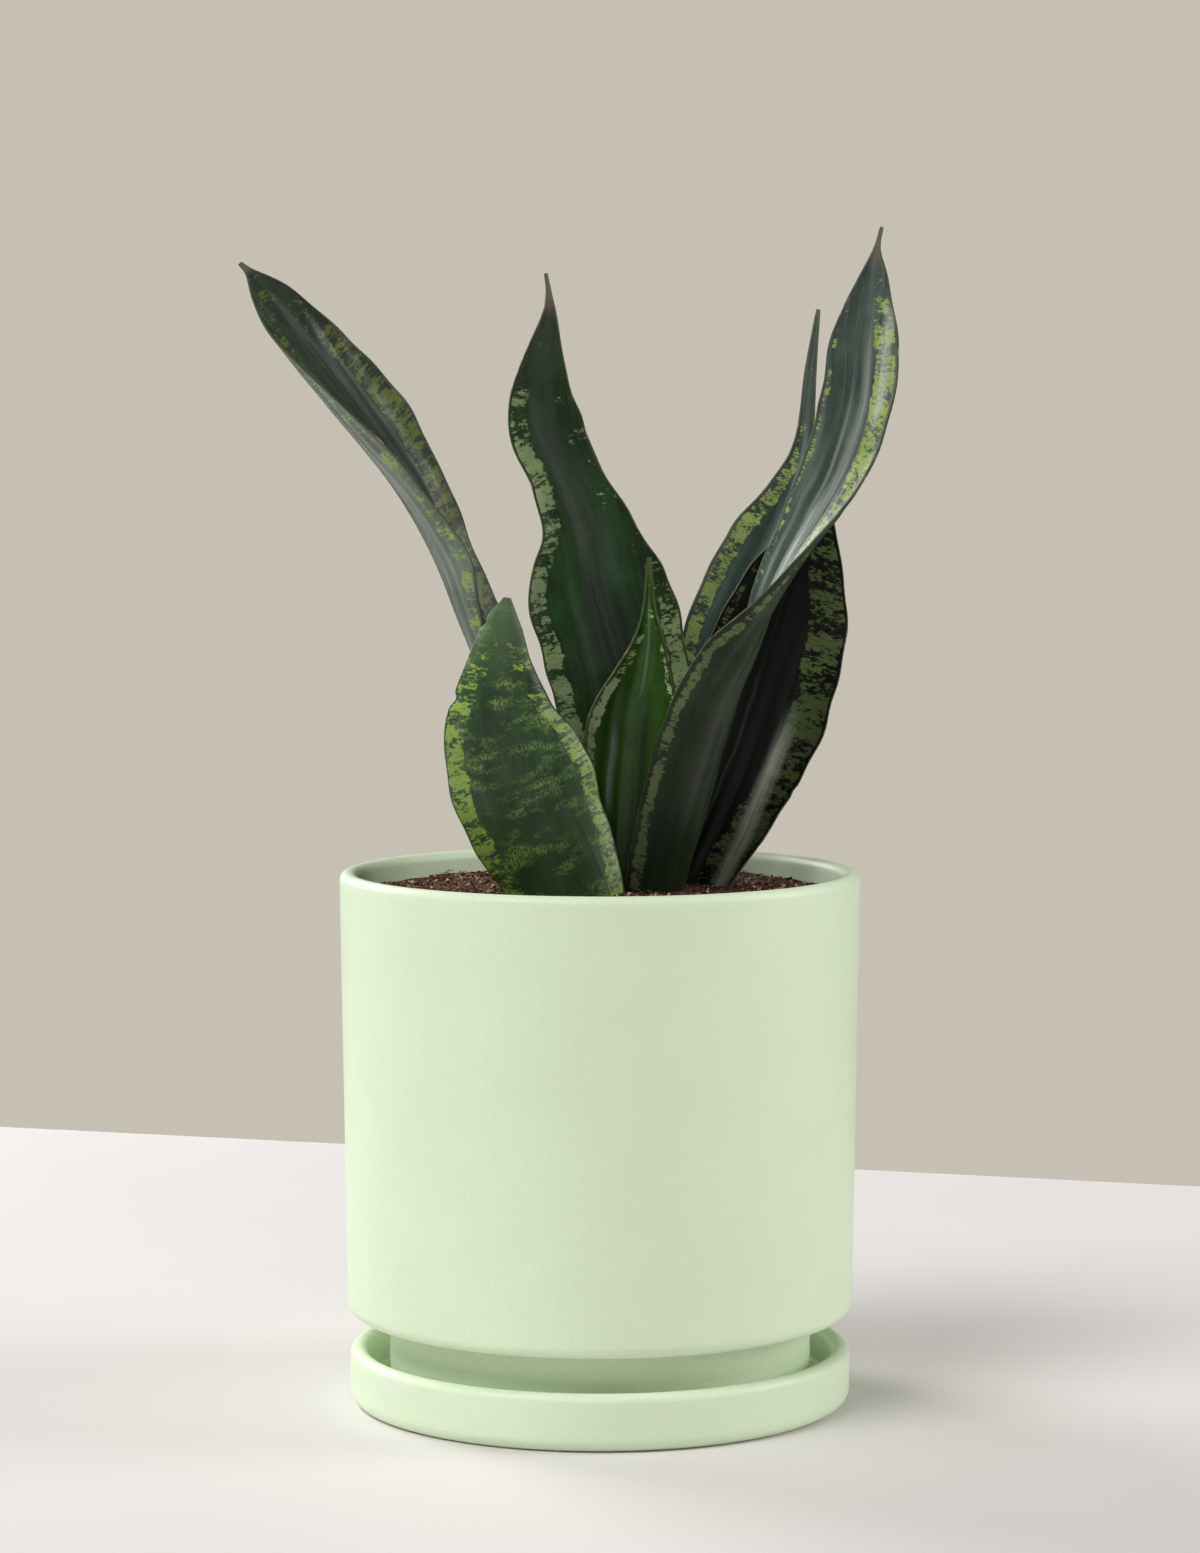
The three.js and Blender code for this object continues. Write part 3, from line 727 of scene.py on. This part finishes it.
class PLANT_OT_saucer(bpy.types.Operator):
    """Turns the saucer: low wall with a round lip, on a bare clay ring."""
    bl_idname = "plant.saucer"
    bl_label = "Saucer"

    def execute(self, context):
        pot = context.scene.plant.pot
        height = SAUCER_HIGH.z
        inner_floor = POT_LOW.z - FIT_GAP
        radius = pot.base_radius - pot.foot_setback + pot.saucer_channel + pot.wall
        inside, ring_width = radius - pot.wall, 14 * MM
        bpy.ops.object.select_all(action="DESELECT")
        bpy.ops.mesh.primitive_cylinder_add(
            vertices=SIDES, radius=radius, depth=height, location=(0, 0, height / 2))
        piece = begin("ceramic_saucer")
        choose(piece, "FACE", disc(height))
        bpy.ops.mesh.inset(thickness=pot.wall)
        raise_face(inner_floor - height)
        choose(piece, "FACE", disc(0))
        bpy.ops.mesh.inset(thickness=ring_width)
        raise_face(1.4 * MM)
        lip = pot.wall / 2 - ROUNDING_SPARE
        round_edges(piece, (
            (height, radius, lip, 7), (height, inside, lip, 7), (inner_floor, inside, 2 * MM, 4),
            (0, radius, 4.5 * MM, 8), (0, radius - ring_width, 0.5 * MM, 2)))
        slice_at(height - BELOW_LIP, 6 * MM)
        bpy.ops.object.mode_set(mode="OBJECT")
        piece.data.materials.append(matte_glaze(pot))
        piece.data.materials.append(bare_clay(pot))
        paint_faces(piece, 1, lambda place, normal: place.z < 0.2 * MM and normal.z < -0.9)
        bpy.ops.object.mode_set(mode="EDIT")
        end(piece, (), "glazed_pot", "saucer")
        return {"FINISHED"}


def lumps(x, y):
    """The unevenness of the mix: swells 70 to 80 mm apart and smaller ones 25 to 55 mm apart."""
    broad = math.sin(x / 0.0107 + 1.3) * math.cos(y / 0.0131 + 0.4)
    small = math.sin(x / 0.0043 + y / 0.0061) * math.cos(y / 0.0037 - x / 0.0089 + 2)
    return (0.55 * broad + 0.4 * small) * MM


def mix_level(x, y, settings):
    """The height of the potting mix there: highest at the plant, pressed down at the wall."""
    wall_z, mound_radius = POT_HIGH.z - settings.below_rim, 75 * MM
    crown = (SOIL_HIGH.z - wall_z) * max(0, 1 - math.hypot(x, y) / mound_radius)
    return wall_z + crown + lumps(x, y)


class PLANT_OT_soil(bpy.types.Operator):
    """Fills the pot with potting mix and scatters loose crumbs and fibres on it."""
    bl_idname = "plant.soil"
    bl_label = "Potting mix"

    def execute(self, context):
        settings, pot = context.scene.plant.soil, context.scene.plant.pot
        material = potting_mix(settings)
        self.fill(settings, pot, material)
        self.scatter(settings, pot, material)
        return {"FINISHED"}

    def fill(self, settings, pot, material):
        wall_z = POT_HIGH.z - settings.below_rim
        bottom = SOIL_LOW.z
        # The wall leans out, so the mix is a little narrower here than the rim is inside.
        top_radius = pot.rim_radius - pot.wall - FIT_GAP - 0.2 * MM
        share = (pot.base_radius - pot.wall - FIT_GAP) / top_radius
        bpy.ops.object.select_all(action="DESELECT")
        bpy.ops.mesh.primitive_cylinder_add(
            vertices=SIDES, radius=top_radius, depth=wall_z - bottom,
            location=(0, 0, (wall_z + bottom) / 2))
        piece = begin("potting_mix")
        choose(piece, "FACE", disc(bottom))
        widen(share, bottom)
        round_edges(piece, ((bottom, top_radius * share, 6.7 * MM, 4),))
        rings = 44
        choose(piece, "FACE", disc(wall_z))
        for _ in range(rings - 1):
            bpy.ops.mesh.inset(thickness=top_radius / rings)
        bpy.ops.mesh.poke()
        bpy.ops.object.mode_set(mode="OBJECT")
        for vertex in piece.data.vertices:
            if vertex.co.z > wall_z - 0.1 * MM:
                vertex.co.z = mix_level(vertex.co.x, vertex.co.y, settings)
        tone = piece.data.attributes.new("tone", "FLOAT", "POINT")
        tone.data.foreach_set("value", [BED_TONE] * len(piece.data.vertices))
        bpy.ops.object.mode_set(mode="EDIT")
        end(piece, (material,), "potting_soil", "soil", smooth=60)

    def scatter(self, settings, pot, material):
        """One mesh of loose pieces: copies of a chunk, a flake and a fibre, turned and scaled."""
        draw = random.Random(settings.seed)
        reach = pot.rim_radius - pot.wall - 2.2 * MM
        shapes = {"chunk": self.chunk(), "flake": self.flake(), "fibre": self.fibre()}
        points, faces, tones = [], [], []
        for i in range(settings.crumbs + settings.fibres):
            kind = "fibre" if i >= settings.crumbs else draw.choice(("chunk", "chunk", "flake"))
            size = draw.uniform(0.4, 1.0) ** 1.6 * LARGEST_CRUMB
            turn = Euler([draw.uniform(0, math.tau) for _ in range(3)])
            if kind != "chunk":
                turn = Euler((draw.gauss(0, 0.3), draw.gauss(0, 0.3), draw.uniform(0, math.tau)))
            radius, angle = reach * math.sqrt(draw.random()), draw.uniform(0, math.tau)
            x, y = radius * math.cos(angle), radius * math.sin(angle)
            rest = mix_level(x, y, settings) + size * draw.uniform(-0.1, 0.45)
            if kind == "fibre":
                size = draw.uniform(1.6, 4.2) * MM
                rest = mix_level(x, y, settings) + draw.uniform(0.3, 1.1) * MM
            place = Matrix.Translation((x, y, rest)) @ turn.to_matrix().to_4x4()
            shape_points, shape_faces = shapes[kind]
            stretch = (1, 1, 1)
            if kind == "chunk":
                stretch = (1, draw.uniform(0.6, 1), draw.uniform(0.6, 1))
            start = len(points)
            for point in shape_points:
                points.append(place @ Vector([c * s * size for c, s in zip(point, stretch)]))
            faces.extend([[start + v for v in face] for face in shape_faces])
            tone = draw.random() ** 1.7 * FRESHEST_TONE
            tones.extend([tone] * len(shape_points))
        mesh = bpy.data.meshes.new("loose_crumbs")
        mesh.from_pydata(points, [], faces)
        mesh.attributes.new("tone", "FLOAT", "POINT").data.foreach_set("value", tones)
        piece = bpy.data.objects.new("loose_crumbs", mesh)
        bpy.context.scene.collection.objects.link(piece)
        end(piece, (material,), "potting_soil", smooth=25)

    def take_shape(self):
        """The points and faces of the primitive just shaped, which is then removed."""
        if bpy.context.object.mode == "EDIT":
            bpy.ops.object.mode_set(mode="OBJECT")
        model = bpy.context.object
        points = [tuple(v.co) for v in model.data.vertices]
        faces = [tuple(f.vertices) for f in model.data.polygons]
        bpy.data.objects.remove(model)
        return points, faces

    def chunk(self):
        """A lump of bark about one unit across, knocked out of round."""
        bpy.ops.object.select_all(action="DESELECT")
        bpy.ops.mesh.primitive_ico_sphere_add(subdivisions=1, radius=0.5)
        begin("chunk")
        bpy.ops.mesh.select_all(action="SELECT")
        bpy.ops.transform.vertex_random(offset=0.16, seed=3)
        return self.take_shape()

    def flake(self):
        """A thin splinter of bark, one unit long."""
        bpy.ops.object.select_all(action="DESELECT")
        bpy.ops.mesh.primitive_cube_add(size=1)
        bpy.context.object.scale = (1.1, 0.5, 0.2)
        piece = begin("flake")
        choose(piece, "FACE", lambda points: all(p.x > 0.5 for p in points))
        bpy.ops.transform.resize(value=(1, 0.45, 0.5))
        bpy.ops.mesh.select_all(action="SELECT")
        bpy.ops.mesh.bevel(offset=0.05, segments=1, affect="EDGES")
        return self.take_shape()

    def fibre(self):
        """A curved hair of coir, one unit long."""
        bpy.ops.object.select_all(action="DESELECT")
        bpy.ops.mesh.primitive_cylinder_add(
            vertices=4, radius=0.035, depth=1, rotation=(0, math.pi / 2, 0), end_fill_type="TRIFAN")
        begin("fibre")
        for x in (-0.25, 0, 0.25):
            bpy.ops.mesh.select_all(action="SELECT")
            bpy.ops.mesh.bisect(plane_co=(x, 0, 0), plane_no=(1, 0, 0))
        bpy.ops.object.mode_set(mode="OBJECT")
        for vertex in bpy.context.object.data.vertices:
            vertex.co.y += 0.55 * vertex.co.x ** 2
            vertex.co.z += 0.2 * vertex.co.x ** 3
        return self.take_shape()


class PLANT_OT_rhizome(bpy.types.Operator):
    """Gives the buried rhizome its skin."""
    bl_idname = "plant.rhizome"
    bl_label = "Rhizome"

    def execute(self, context):
        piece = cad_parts["rhizome"]
        piece.data.materials.clear()
        piece.data.materials.append(rhizome_skin())
        return {"FINISHED"}


# Each station of a leaf is (x, y, height above its base, half width, facing, curl) in mm and
# degrees. Half width is measured along the curved blade. Facing is the direction, counted from +X
# towards +Y, that the inner face looks in. Curl is half the angle that the blade bends through.
LEAVES = {
    "leaf_left_tall": (
        (-17, 4, 0, 11, 5, 60), (-20, 3, 46, 14, 0, 60), (-29, 0, 81, 17, -5, 60),
        (-41, -3, 113, 17, -9, 58), (-50, -6, 135, 20.5, 2, 60), (-60, -9, 155, 19, -8, 60),
        (-72.5, -12, 173, 22, -12, 57), (-87.5, -15, 193, 17.5, -22, 48),
        (-97.5, -17, 208, 11, -42, 40), (-104, -18, 217.5, 6, -58, 38),
        (-108.5, -18.5, 223.5, 1.6, -60, 38), (-111.5, -19, 226.5, 0.6, -60, 38)),
    "leaf_middle_tall": (
        (12, 30, 0, 10, -90, 60), (12, 30, 31, 14, -90, 52), (9, 32, 66, 20, -90, 44),
        (7, 34, 94, 24.5, -90, 40), (-1, 37, 124, 24.5, -88, 40), (-5, 38.5, 143, 16.5, -84, 44),
        (-11, 39.5, 159, 13, -84, 46), (-18, 40, 177, 13, -88, 40), (-18.5, 40, 194, 8.5, -90, 40),
        (-16.5, 39, 210.5, 3, -90, 40), (-16.5, 39, 218.5, 1, -90, 40),
        (-17.5, 39, 225.5, 0.5, -90, 40)),
    "leaf_front_short": (
        (-4, -23, 0, 13, 92, 50), (-9.5, -25, 29, 19, 92, 42), (-17, -27, 48, 22.5, 92, 38),
        (-25, -29.5, 67.5, 24, 92, 36), (-30.5, -31.5, 85.5, 18.5, 92, 36),
        (-31, -33, 101.5, 11.5, 92, 36), (-30, -33.5, 114.5, 6.5, 92, 40),
        (-28.5, -33.5, 123.5, 1, 92, 40)),
    "leaf_heart_young": (
        (6, 1, 0, 8, -90, 70), (7, 1, 29, 12, -90, 65), (9, 2, 61, 17, -90, 60),
        (11, 2, 83, 18, -90, 60), (14, 1, 98, 11.5, -90, 62), (15.5, 0, 110, 6, -90, 70),
        (15.5, -0.5, 120, 2.5, -90, 80), (15.5, -1, 135, 0.6, -90, 80)),
    "leaf_right_tall": (
        (17, -9, 0, 12, 135, 62), (21, -9, 29, 15, 135, 60), (30, -11, 64, 17, 136, 58),
        (38, -13, 89, 18, 146, 56), (47, -14, 107.5, 17, 162, 52), (57, -15, 128.5, 13.5, 190, 46),
        (73.5, -17, 158, 14, 220, 40), (81, -19, 182, 13.5, 240, 38),
        (82.5, -20.5, 202.5, 11.5, 255, 38), (84.5, -21, 220.5, 5.5, 262, 45),
        (85.5, -21, 230.5, 1.2, 265, 50), (87, -21, 237.5, 0.5, 265, 50)),
    "leaf_right_broad": (
        (24, 18, 0, 11, -100, 60), (27, 18.5, 27, 15, -100, 50), (35.5, 21, 46.5, 18, -98, 44),
        (46, 25, 71.5, 23, -96, 38), (54.5, 29, 96.5, 24, -94, 36), (62.5, 33, 121.5, 19, -92, 36),
        (69, 36, 143.5, 8, -92, 36), (72, 37.5, 157, 1, -92, 36)),
    "leaf_right_narrow": (
        (20, 42, 0, 9, -98, 60), (25, 42, 41, 13, -98, 50), (33, 45, 80.5, 14, -96, 46),
        (40.5, 48, 106.5, 14.5, -94, 42), (47.5, 50, 122.5, 15.5, -94, 42),
        (55.5, 52, 137.5, 15, -92, 42), (63.5, 54, 157, 8, -92, 44), (67, 56, 172, 3.5, -92, 50),
        (69, 58, 194.5, 2, -92, 50), (71.5, 60, 214.5, 0.6, -92, 50)),
}
LEAF_COLUMNS, LEAF_ROWS = 32, 160
THINNEST_HALF = 0.4                           # half width in mm that a tip doesn't go below
FULL_HALF = 18                                # half width in mm from which the keel is full thick
EDGE_RIPPLE = 0.014                           # share of the width by which an edge swells and dips
EDGE_WAVE = 0.3                               # mm by which an edge curls in and out
RIPPLES, CURLS = (5.3, 2.9), 7.1              # mm along the leaf for one radian of each

# Lengthwise furrows in the blade: how deep in mm, and how far apart.
FURROWS = {
    "leaf_right_tall": (0.36, 7.5), "leaf_right_narrow": (0.2, 6.0), "leaf_left_tall": (0.2, 6.5),
    "leaf_right_broad": (0.18, 6.0), "leaf_middle_tall": (0.12, 7.0),
    "leaf_front_short": (0.08, 7.0), "leaf_heart_young": (0.15, 6.0),
}
# Nicks in a margin: (share of the length, side, depth, half length), in mm; side 1 is the left edge
# of an outer face.
NICKS = {
    "leaf_front_short": ((0.755, 1, 1.4, 1.2), (0.93, 1, 0.8, 1.2), (0.13, -1, 0.8, 1.2)),
    "leaf_right_tall": ((0.66, 1, 1.4, 1.2),),
    "leaf_right_broad": ((0.42, 1, 0.7, 1.0),),
    "leaf_left_tall": ((0.5, -1, 0.8, 1.2),),
}


def through(stations, shares):
    """A smooth curve through the stations and its direction, at shares of it from 0 to 1."""
    known = np.vstack([2 * stations[0] - stations[1], stations, 2 * stations[-1] - stations[-2]])
    count = len(stations) - 1
    first = np.minimum((shares * count).astype(int), count - 1)
    t = (shares * count - first)[:, None]
    a, b, c, d = (known[first + k] for k in range(4))
    first_order, second_order = c - a, 2 * a - 5 * b + 4 * c - d
    third_order = 3 * b - a - 3 * c + d
    curve = 0.5 * (2 * b + first_order * t + second_order * t ** 2 + third_order * t ** 3)
    slope = 0.5 * (first_order + 2 * second_order * t + 3 * third_order * t ** 2)
    return curve, slope


class PLANT_OT_leaves(bpy.types.Operator):
    """Grows the seven leaves, each a curled blade with a thick keel and thin margins."""
    bl_idname = "plant.leaves"
    bl_label = "Leaves"

    def execute(self, context):
        settings = context.scene.plant.leaf
        rim = leaf_edge(settings)
        for name, stations in LEAVES.items():
            inner, outer = LOOKS[name]
            materials = (leaf_face(name + "_outer_skin", outer, settings, True),
                         leaf_face(name + "_inner_skin", inner, settings, False), rim)
            self.grow(name, np.array(stations, float), settings, materials)
        return {"FINISHED"}

    def grow(self, node, stations, settings, materials):
        """Shapes one leaf from a flat grid and gives it its thickness and skins."""
        bpy.ops.object.select_all(action="DESELECT")
        bpy.ops.mesh.primitive_grid_add(
            x_subdivisions=LEAF_COLUMNS, y_subdivisions=LEAF_ROWS, size=2)
        piece = bpy.context.object
        piece.name = piece.data.name = node.replace("leaf", "blade", 1)
        for material in materials:
            piece.data.materials.append(material)
        count = len(piece.data.vertices)
        flat = np.empty(count * 3)
        piece.data.vertices.foreach_get("co", flat)
        flat = flat.reshape(-1, 3)
        side, along = -flat[:, 0], (flat[:, 1] + 1) / 2
        stations[:, 2] += ROOTING_Z
        curve, slope = through(stations, along)
        half_width = np.maximum(curve[:, 3], THINNEST_HALF)
        rows = np.unique(along)
        spine, _ = through(stations, rows)
        steps = np.linalg.norm(np.diff(spine[:, :3], axis=0), axis=1)
        run = np.interp(along, rows, np.concatenate([[0], np.cumsum(steps)]))
        place = self.bend(node, curve, slope, side, half_width, run, phase=1.9 * len(stations))
        piece.data.vertices.foreach_set("co", (place * MM).ravel())

        # Where each point is on the blade, for the patterns on its skins.
        mesh = piece.data
        blade = np.stack([half_width * side, run, half_width * (1 - np.abs(side))], axis=1) * MM
        to_tip = (run.max() - run) * MM
        mesh.attributes.new("blade", "FLOAT_VECTOR", "POINT").data.foreach_set(
            "vector", blade.ravel())
        mesh.attributes.new("to_tip", "FLOAT", "POINT").data.foreach_set("value", to_tip)

        full, thin = settings.thickness / MM, settings.margin / MM
        body = np.minimum(1, half_width / FULL_HALF) * (full - thin) * (1 - side ** 2)
        weight = (body + np.minimum(thin, half_width)) / full
        group = piece.vertex_groups.new(name="thickness")
        for index in range(count):
            group.add([index], float(weight[index]), "REPLACE")
        thicken = piece.modifiers.new("thicken", "SOLIDIFY")
        thicken.thickness = settings.thickness
        thicken.offset = 0
        thicken.vertex_group = group.name
        thicken.material_offset = 1
        thicken.material_offset_rim = 2
        smooth = piece.modifiers.new("smooth", "SUBSURF")
        smooth.levels = smooth.render_levels = 1
        for modifier in (thicken.name, smooth.name):
            bpy.ops.object.modifier_apply(modifier=modifier)
        end(piece, (), "young_leaf" if "young" in node else "mature_leaf", node, smooth=60)

    def bend(self, node, curve, slope, side, half_width, run, phase):
        """The blade's points in mm: curled about its keel, with furrows, nicks and wavy edges."""
        facing, curl = np.radians(curve[:, 4]), np.radians(curve[:, 5])
        tangent = slope[:, :3] / np.linalg.norm(slope[:, :3], axis=1)[:, None]
        looks = np.stack([np.cos(facing), np.sin(facing), np.zeros(len(side))], axis=1)
        sideways = np.cross(tangent, looks)
        sideways /= np.linalg.norm(sideways, axis=1)[:, None]
        inward = np.cross(sideways, tangent)
        # Nothing grows quite straight: each edge swells, dips and curls a little.
        phase = phase + 1.3 * side
        taper = np.clip(half_width / 8, 0, 1)
        slow, quick = (run / length for length in RIPPLES)
        ripple = np.sin(slow + phase) + np.sin(quick - phase)
        reach = 1 + EDGE_RIPPLE * taper * ripple
        for share, edge, depth, half_length in NICKS.get(node, ()):
            dip = np.exp(-((run - share * run.max()) / half_length) ** 2)
            reach -= (side * edge > 0) * dip * depth / half_width
        radius, angle = half_width / curl, curl * side
        furrow, spacing = FURROWS[node]
        lift = furrow * taper * (1 - side ** 4) * np.cos(math.tau * half_width * side / spacing)
        lift += EDGE_WAVE * taper * side ** 2 * np.sin(run / CURLS + phase)
        place = curve[:, :3] + sideways * (radius * np.sin(angle) * reach)[:, None]
        return place + inward * (radius * (1 - np.cos(angle)) * reach + lift)[:, None]


MIDDLE = (0, 0, 0.18)                         # what the lamps point at
EYE = (0, -1.378, 0.30765)                    # where the camera stands
DOWNWARD_TILT = 4.5                           # degrees


class PLANT_OT_stage(bpy.types.Operator):
    """Sets the table, the soft light and the camera."""
    bl_idname = "plant.stage"
    bl_label = "Stage"

    def execute(self, context):
        stage = context.scene.plant.stage
        bpy.ops.object.select_all(action="DESELECT")
        bpy.ops.mesh.primitive_plane_add(size=2)
        table = bpy.context.object
        table.name = table.data.name = "table"
        # The far edge runs askew behind the plant.
        corners = ((-3, -4), (3, -4), (-3, 1.37), (3, -0.44))
        for vertex, (x, y) in zip(table.data.vertices, corners):
            vertex.co = (x, y, 0)
        table.data.materials.append(table_top(stage))

        world = bpy.data.worlds.new("studio_air")
        world.use_nodes = True
        tree = world.node_tree
        tree.nodes.clear()
        # Behind the object the backdrop shows; the light that it gives is a whiter and weaker one.
        seen = add(tree, "ShaderNodeLightPath", {})["Is Camera Ray"]
        room = add(tree, "ShaderNodeBackground", {
            "Color": linear("#fff0de"), "Strength": stage.air})[0]
        wall = add(tree, "ShaderNodeBackground", {"Color": tuple(stage.backdrop)})[0]
        both = add(tree, "ShaderNodeMixShader", {0: seen, 1: room, 2: wall})[0]
        add(tree, "ShaderNodeOutputWorld", {"Surface": both})
        context.scene.world = world

        self.light("key_light", "SUN", (-0.9, -0.9, 1.9), stage.key, angle=math.radians(30))
        for name, place, size, watts in (
                ("front_softbox", (0.1, -2.0, 0.8), 1.2, stage.front_watts),
                ("left_softbox", (-1.9, -0.3, 0.9), 1.0, stage.left_watts),
                ("side_softbox", (1.8, 0, 0.8), 1.0, stage.side_watts),
                ("back_softbox", (-1.2, 1.2, 1.0), 1.0, stage.back_watts)):
            self.light(name, "AREA", place, watts, shape="DISK", size=size)

        bpy.ops.object.camera_add(location=EYE, rotation=(math.radians(90 - DOWNWARD_TILT), 0, 0))
        camera = bpy.context.object
        camera.name = "camera"
        camera.data.sensor_width = 36
        camera.data.lens = 101.2
        camera.data.clip_end = 20
        context.scene.camera = camera
        context.scene.view_settings.view_transform = "Standard"
        return {"FINISHED"}

    def light(self, name, kind, place, energy, **settings):
        """Adds a lamp that points at the middle of the object and isn't seen itself."""
        aim = Vector(MIDDLE) - Vector(place)
        turn = aim.to_track_quat("-Z", "Y").to_euler()
        bpy.ops.object.light_add(type=kind, location=place, rotation=turn)
        lamp = bpy.context.object
        lamp.name = name
        lamp.data.energy = energy
        for key, value in settings.items():
            setattr(lamp.data, key, value)
        lamp.visible_camera = False


STEPS = (PLANT_OT_pot, PLANT_OT_saucer, PLANT_OT_soil, PLANT_OT_rhizome, PLANT_OT_leaves,
         PLANT_OT_stage)


class PLANT_PT_panel(bpy.types.Panel):
    """Lists the pieces of the plant and their settings."""
    bl_idname = "PLANT_PT_panel"
    bl_label = "Potted snake plant"
    bl_space_type = "VIEW_3D"
    bl_region_type = "UI"
    bl_category = "Plant"

    def draw(self, context):
        for step in STEPS:
            self.layout.operator(step.bl_idname)
        for group in ("pot", "soil", "leaf", "stage"):
            settings = getattr(context.scene.plant, group)
            box = self.layout.box()
            for name in settings.__annotations__:
                box.prop(settings, name)


CLASSES = (PotSettings, SoilSettings, LeafSettings, StageSettings, PlantSettings, *STEPS,
           PLANT_PT_panel)


def register():
    for kind in CLASSES:
        bpy.utils.register_class(kind)
    bpy.types.Scene.plant = PointerProperty(type=PlantSettings)


def unregister():
    del bpy.types.Scene.plant
    for kind in reversed(CLASSES):
        bpy.utils.unregister_class(kind)


def main():
    register()
    bpy.ops.plant.pot()
    bpy.ops.plant.saucer()
    bpy.ops.plant.soil()
    bpy.ops.plant.rhizome()
    bpy.ops.plant.leaves()
    bpy.ops.plant.stage()


if __name__ == "__main__":
    main()
